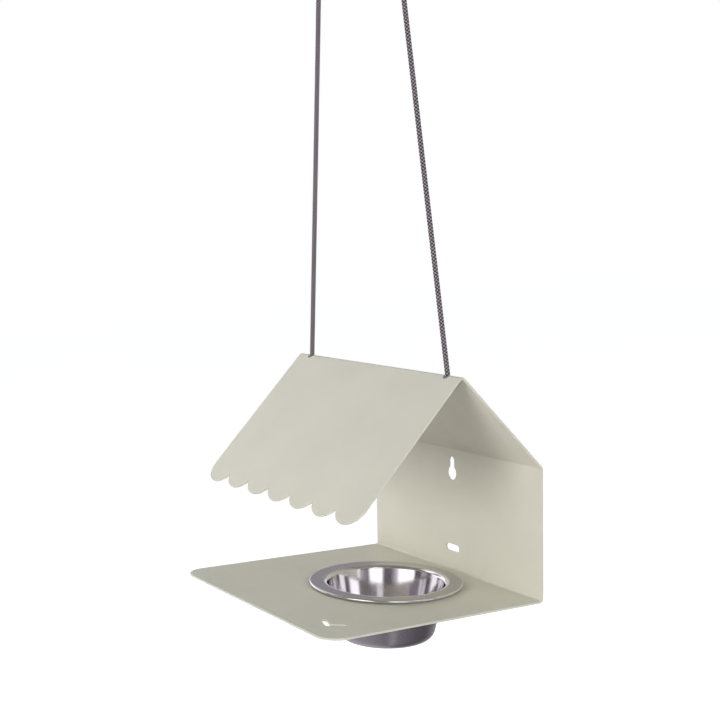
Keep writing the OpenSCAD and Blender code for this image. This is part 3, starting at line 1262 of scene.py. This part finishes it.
@dataclass
class StopperKnot:
    """An overhand knot pulled tight under the ridge, with a short tail.

    Attributes:
        side: The hole that it stops.
        braid: Its braid.
        tail: Length of its tail.
        points: Points of the knot while it is drawn tight.
        rounds: Rounds of tightening.
        pull: Share of the loose length that each round takes off.
        shortest: Length that ends the pulling, in cord diameters.
        passes: Times a round evens out the steps between points.
        stiffness: Share by which a round straightens the cord at each point.
        apart: Distance along the cord, in diameters, from which two points may not touch.
        push: Share of an overlap that a round takes off each of the two.
        centring: What a round leaves of the ends' distance from the middle line.
        skin: The braid's height over the cord's radius.
        blends: Rounds that soften the joins to the neck and the tail.
        neck_gap: Distance of the neck's start below the middle of the sheet.
        slope_gap: Distance between the knot and the slopes' inside.
        aside: How far the knot sits toward the middle of the ridge.
        steps: Steps between two points of the finished knot.
    """

    side: Side
    braid: Braid = field(default_factory=lambda: Braid(ring_step=0.22, sides=28))
    tail: float = 3.1
    points: int = 90
    rounds: int = 900
    pull: float = 0.0011
    shortest: float = 9.2
    passes: int = 4
    stiffness: float = 0.18
    apart: float = 1.45
    push: float = 0.25
    centring: float = 0.9
    skin: float = 0.15
    blends: int = 6
    neck_gap: float = 0.3
    slope_gap: float = 0.25
    aside: float = 0.8
    steps: int = 12

    def loose(self) -> Array:
        """An open overhand knot: cubic, quartic and quintic curves of one parameter.

        Returns:
            Points in cord diameters, with the two ends running up and down.
        """
        t = np.linspace(-2.05, 2.05, self.points)
        return np.column_stack([(t**4 - 4 * t**2) * 0.62, (t**5 - 10 * t) * 0.16, -(t**3 - 3 * t) * 1.15])

    def tight(self) -> Array:
        """Shortens the knot round by round while every stretch keeps a diameter from every other.

        Returns:
            Points in cord diameters.
        """
        p = self.loose()
        n = len(p)
        apart = np.abs(np.subtract.outer(np.arange(n), np.arange(n)))
        length = length_of(p)
        for step in range(self.rounds):
            target = max(length * (1 - self.pull * step), self.shortest)
            rest = target / (n - 1)
            for _ in range(self.passes):
                d = np.diff(p, axis=0)
                size = np.linalg.norm(d, axis=1, keepdims=True)
                fix = d * (1 - rest / size) * 0.5
                p[:-1] += fix
                p[1:] -= fix
            p[1:-1] += self.stiffness * (p[:-2] + p[2:] - 2 * p[1:-1])
            gap = p[:, None] - p[None]
            dist = np.linalg.norm(gap, axis=-1)[..., None] + TINY
            near = (dist < 1.0) & (apart[..., None] * rest > self.apart)
            p += np.where(near, gap / dist * (1.0 - dist) * self.push, 0.0).sum(1)
            p[[0, -1], :2] *= self.centring
        return p - [*p[[0, -1], :2].mean(0), p[:, 2].mean()]

    def path(self, house: FoldedHouse) -> Array:
        """Places the knot under the fold, close against both slopes, with its neck up in the hole.

        Args:
            house: The house, for its ridge and its sheet.

        Returns:
            Points in millimetres in the house's frame.
        """
        knot = self.tight() * 2 * self.braid.radius
        if knot[0, 2] < knot[-1, 2]:
            knot = knot[::-1]
        knot = knot * [-self.side.value, -1.0, 1.0]
        crown = float(np.max(np.abs(knot[:, 1]) + knot[:, 2]))
        crown += math.sqrt(2) * (self.braid.radius + self.skin)
        inside = math.sqrt(2) * house.thickness + self.slope_gap
        body = knot - [self.side.value * self.aside, 0.0, crown + inside]
        neck = np.array([[0.0, 0.0, -(house.ridge_depth + self.neck_gap)]])
        tail = body[-1] + np.array([[0.0, -0.1, -0.5], [0.0, -0.4, -1.0]]) * self.tail
        local = np.concatenate([neck, body, tail])
        for _ in range(self.blends):
            local[1:-1] += 0.25 * (local[:-2] + local[2:] - 2 * local[1:-1])
        dense = through(local, self.steps)
        down, across = along(house.down_angle), along(house.down_angle + 90.0)
        yz = house.ridge + across * dense[:, 1, None] - down * dense[:, 2, None]
        return np.column_stack([dense[:, 0] + self.side.value * house.cord_hole_x, yz])

    def build(self, house: FoldedHouse, hang: Hang, finish: bpy.types.Material) -> bpy.types.Object:
        """Makes the knot.

        Args:
            house: The house that it stops.
            hang: Where the house hangs.
            finish: Its material.

        Returns:
            The knot.
        """
        word = self.side.name.lower()
        path = hang.place(self.path(house)) / METRE
        knot, _ = dress_tube(f"overhand_knot_{word}", self.braid, path, finish)
        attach(knot, Body.HOUSE.value)
        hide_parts(f"{word}_knot")
        log.info("%s knot: %d points", word, len(knot.data.vertices))
        return knot


# ---------------------------------------------------------------- camera, floor and light


@dataclass(frozen=True)
class Lamp:
    """One square area lamp that lights the feeder and isn't mirrored in it.

    Attributes:
        name: Its name.
        azimuth: Direction from the feeder in degrees, 0 in front and 90 to the right.
        elevation: Height of that direction in degrees.
        distance: Distance from the feeder's middle in metres.
        size: Side of its square in metres.
        watts: Its power.
        colour: Its colour.
    """

    name: str
    azimuth: float
    elevation: float
    distance: float
    size: float
    watts: float
    colour: Triple = (0.975, 1.0, 0.99)

    def build(self, aim: Vector) -> None:
        """Stands at its distance along its direction, which is level length times sine and cosine, and rise.

        Args:
            aim: The point that it faces, in metres.
        """
        data = bpy.data.lights.new(self.name, "AREA")
        data.shape, data.size, data.energy = "SQUARE", self.size, self.watts
        data.color = self.colour
        lamp = bpy.data.objects.new(self.name, data)
        bpy.context.scene.collection.objects.link(lamp)
        level = along(self.elevation)
        facing = along(self.azimuth, float(level[0]))
        away = Vector((float(facing[1]), -float(facing[0]), float(level[1])))
        lamp.location = aim + away * self.distance
        lamp.rotation_euler = (-away).to_track_quat("-Z", "Y").to_euler()
        lamp.visible_glossy = False


@dataclass(frozen=True)
class Studio:
    """A pale floor, soft light and the photograph's camera.

    Attributes:
        eye: The camera's place in the house's frame.
        ahead: Its direction of view there.
        up: Its up direction there.
        focal: Focal length in pixels.
        frame_px: Width of the photograph in pixels.
        sensor_mm: Width of the camera's sensor.
        clip: Nearest and farthest distance that it sees, in metres.
        aim: The point that the lamps face, in metres.
        floor_z: Height of the floor in metres.
        floor_size: Side of its square in metres.
        floor_tones: Its grey for light, its grey for the camera, and its glow for the camera.
        ambient: Strength of the soft light from all round.
        ambient_tint: Colour of that light.
        lamps: The lamps.
        panels: What steel mirrors between about 8 and 20 degrees up, as azimuth and brightness.
        high_panels: The same between about 22 and 35 degrees up.
        floor_panels: The same below the horizon.
        grey_tint: Colour of the panels that are darker than grey_below.
        grey_below: That brightness.
        horizon: Sines of the heights between which white turns into the panels.
        low_top: The same where the high panels begin, measured along the bowl's leaning axis.
        high_top: The same where they end and the low ones come back.
        bowl_lean: Sine of the bowl axis' lean to the back.
    """

    eye: Triple = (748.66, -598.43, 243.87)
    ahead: Triple = (-0.823954, 0.559629, -0.088964)
    up: Triple = (-0.083399, 0.035524, 0.995883)
    focal: float = 1281.262
    frame_px: float = 720.0
    sensor_mm: float = 36.0
    clip: Pair = (0.01, 100.0)
    aim: Triple = (0.0, -0.06, -0.42)
    floor_z: float = -0.9
    floor_size: float = 12.0
    floor_tones: Triple = (0.8, 0.35, 0.92)
    ambient: float = 0.235
    ambient_tint: Rgba = (0.93, 1.0, 1.0, 1.0)
    lamps: tuple[Lamp, ...] = (
        Lamp("key_lamp", 20.0, 7.0, 1.6, 0.5, 14.1, (1.0, 0.98, 0.98)),
        Lamp("left_lamp", -75.0, 15.0, 1.5, 0.8, 14.6, (1.0, 0.985, 0.97)),
        Lamp("right_lamp", 85.0, 15.0, 1.5, 0.8, 6.5),
        Lamp("rear_right_lamp", 120.0, 25.0, 1.5, 0.8, 4.0),
        Lamp("rear_left_lamp", -115.0, 25.0, 1.5, 0.8, 3.0),
        Lamp("rear_lamp", 180.0, 40.0, 1.5, 0.8, 3.0),
        Lamp("low_lamp", 20.0, -40.0, 1.2, 0.8, 4.0),
    )
    panels: tuple[Pair, ...] = (
        (-180, 0.4), (-112, 0.4), (-106, 1.5), (-52, 1.5), (-45, 0.13), (-35, 0.15), (-31, 0.5), (-21, 0.45),
        (-17, 0.12), (-6, 0.12), (-1, 1.8), (27, 1.8), (34, 0.7), (40, 0.42), (46, 0.15), (60, 0.15),
        (66, 1.7), (87, 1.7), (93, 0.15), (108, 0.15), (114, 1.6), (125, 1.6), (128, 0.3), (133, 0.3),
        (137, 1.3), (142, 1.3), (145, 0.35), (150, 1.0), (156, 0.35), (180, 0.4),
    )
    high_panels: tuple[Pair, ...] = (
        (-180, 0.34), (-118, 0.34), (-112, 1.2), (-92, 1.2), (-86, 0.34), (-10, 0.34), (-5, 2.1), (34, 2.1),
        (41, 0.4), (60, 0.5), (80, 0.5), (84, 1.1), (91, 1.1), (95, 0.34), (180, 0.34),
    )
    floor_panels: tuple[Pair, ...] = (
        (-180, 0.3), (-90, 0.75), (-50, 0.8), (-12, 0.6), (20, 0.5), (45, 0.38), (58, 0.33), (65, 0.62),
        (72, 0.62), (82, 0.33), (100, 0.3), (130, 0.2), (163, 0.17), (180, 0.3),
    )
    grey_tint: Triple = (1.0, 0.94, 1.02)
    grey_below: float = 0.9
    horizon: Pair = (0.05, 0.14)
    low_top: Pair = (0.345, 0.375)
    high_top: Pair = (0.55, 0.65)
    bowl_lean: float = 0.0763

    def camera(self, hang: Hang) -> None:
        """Puts the camera where the photograph was taken from.

        Args:
            hang: Where the house hangs.
        """
        data = bpy.data.cameras.new("camera")
        camera = bpy.data.objects.new("camera", data)
        bpy.context.scene.collection.objects.link(camera)
        forward = unit(hang.turn(np.array(self.ahead)))
        right = unit(np.cross(forward, hang.turn(np.array(self.up))))
        upward = np.cross(right, forward)
        placed = np.eye(4)
        placed[:3, 0], placed[:3, 1], placed[:3, 2] = right, upward, -forward
        placed[:3, 3] = hang.place(np.array([self.eye]))[0]
        camera.matrix_world = Matrix(placed.tolist())
        data.sensor_width = self.sensor_mm
        data.lens = self.focal / self.frame_px * data.sensor_width
        data.clip_start, data.clip_end = self.clip
        bpy.context.scene.camera = camera

    def bands(self, n: Nodes, x: Socket, y: Socket, panels: tuple[Pair, ...]) -> Socket:
        """Brightness by azimuth, which is the angle of x against minus y.

        Args:
            n: The tree.
            x: The direction's part to the right.
            y: Its part to the back.
            panels: Azimuth in degrees and brightness there, from -180 to 180.

        Returns:
            The colour.
        """
        turn = n.math("DIVIDE", n.math("ARCTAN2", x, n.math("MULTIPLY", y, -1.0)), 2 * math.pi)
        band = n.add("ShaderNodeValToRGB", {0: n.math("ADD", turn, 0.5)})
        stops = band.color_ramp.elements
        for azimuth, _ in panels[1:-1]:
            stops.new(azimuth / 360.0 + 0.5)
        for stop, (azimuth, value) in zip(stops, panels):
            tint = np.array(self.grey_tint) if value < self.grey_below else np.ones(3)
            stop.position = azimuth / 360.0 + 0.5
            stop.color = (*[float(v) for v in tint * value], 1.0)
        return band.outputs[0]

    def mirrored(self, n: Nodes) -> Socket:
        """What steel mirrors above the floor: white at the horizon, panels above it, and others higher up.

        The high panels show from one sine of the height to another, and the low ones everywhere else.

        Args:
            n: The world's tree.

        Returns:
            The colour.
        """
        x, y, z = n.add("ShaderNodeSeparateXYZ", {0: n.place("Generated")}).outputs
        above = n.span(z, *self.horizon)
        over = n.span(n.math("ADD", z, n.math("MULTIPLY", y, self.bowl_lean)), *self.low_top)
        high = n.math("MULTIPLY", over, n.span(z, *self.high_top, 1.0, 0.0))
        panels = n.mix(high, self.bands(n, x, y, self.panels), self.bands(n, x, y, self.high_panels))
        return n.mix(above, WHITE, panels)

    def world(self) -> None:
        """White for camera and transmission rays, panels for glossy rays, and soft light for the rest."""
        world = bpy.data.worlds.new("studio_world")
        world.use_nodes = True
        n = Nodes(world.node_tree)
        ray = n.add("ShaderNodeLightPath").outputs
        seen = n.math("MAXIMUM", ray["Is Camera Ray"], ray["Is Transmission Ray"])
        light = n.glow("Background", self.ambient_tint, self.ambient)
        lit = n.blend(ray["Is Glossy Ray"], light, n.glow("Background", self.mirrored(n)))
        n.add("ShaderNodeOutputWorld", {"Surface": n.blend(seen, lit, n.glow("Background", WHITE))})
        bpy.context.scene.world = world

    def floor(self) -> None:
        """A plain pale floor far below, white to the camera except where the feeder shades it."""
        corners = np.array([[-1, -1], [1, -1], [1, 1], [-1, 1]]) * self.floor_size / 2
        points = np.column_stack([corners, np.full(4, self.floor_z)])
        plane = make_mesh("pale_floor", points, np.array([[0, 1, 2, 3]]), np.zeros((0, 3)))
        material, n = new_material("pale_floor")
        ray = n.add("ShaderNodeLightPath").outputs
        *greys, glow = self.floor_tones
        matt, dim = (n.out("ShaderNodeBsdfDiffuse", {"Color": (v, v, v, 1.0)}) for v in greys)
        bright = n.out("ShaderNodeAddShader", {0: dim, 1: n.glow("Emission", WHITE, glow)})
        x, y, _ = n.add("ShaderNodeSeparateXYZ", {0: n.place()}).outputs
        banded = n.glow("Emission", self.bands(n, x, y, self.floor_panels))
        lit = n.blend(ray["Is Glossy Ray"], matt, banded)
        n.add("ShaderNodeOutputMaterial", {"Surface": n.blend(ray["Is Camera Ray"], lit, bright)})
        plane.data.materials.append(material)

    def build(self, hang: Hang) -> None:
        """Sets the camera, the light and the floor.

        Args:
            hang: Where the house hangs.
        """
        self.camera(hang)
        self.world()
        self.floor()
        for lamp in self.lamps:
            lamp.build(Vector(self.aim))
        bpy.context.scene.view_settings.view_transform = "Standard"
        log.info("studio ready")


# ---------------------------------------------------------------- the whole scene


def hang_of(house: FoldedHouse) -> Hang:
    """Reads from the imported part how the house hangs.

    Args:
        house: The house, for its pivot in its own frame.

    Returns:
        Where the house hangs.
    """
    joints = {j["name"]: j for j in frame["joints"]}
    lift = joints["bowl_lift"]["axis"]
    drop = joints["house_swing"]["pos_m"][2] / METRE
    return Hang(house.pivot, math.degrees(math.atan2(lift[1], lift[2])), drop)


def main() -> None:
    """Builds the studio, the cord and then each piece of the feeder."""
    logging.basicConfig(level=logging.INFO, format="%(message)s")
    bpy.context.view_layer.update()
    house = FoldedHouse()
    hang = hang_of(house)
    Studio().build(hang)
    yarn = BraidedYarn().build()
    cord, middle = Cord().build(yarn)
    knots = [StopperKnot(side).build(house, hang, yarn) for side in Side]
    house.build(hang, PowderCoat().build())
    bowl = Bowl()
    centre = tuple(float(v) for v in hang.place(np.array([[*bowl.centre, 0.0]]))[0])
    finishes = (
        ("steel_brushed_outside", (176, 172, 178), 0.22, 0.05, 0.5),
        ("steel_satin_rim", (186, 184, 184), 0.3, 0.03, 0.25),
        ("steel_polished_lip", (225, 222, 225), 0.08, 0.02, 0.1),
        ("steel_satin_inside", (226, 222, 226), 0.1, 0.03, 0.3),
    )
    bowl.build(hang, [SpunSteel(*row, centre, -hang.tilt).build() for row in finishes])


if __name__ == "__main__":
    main()
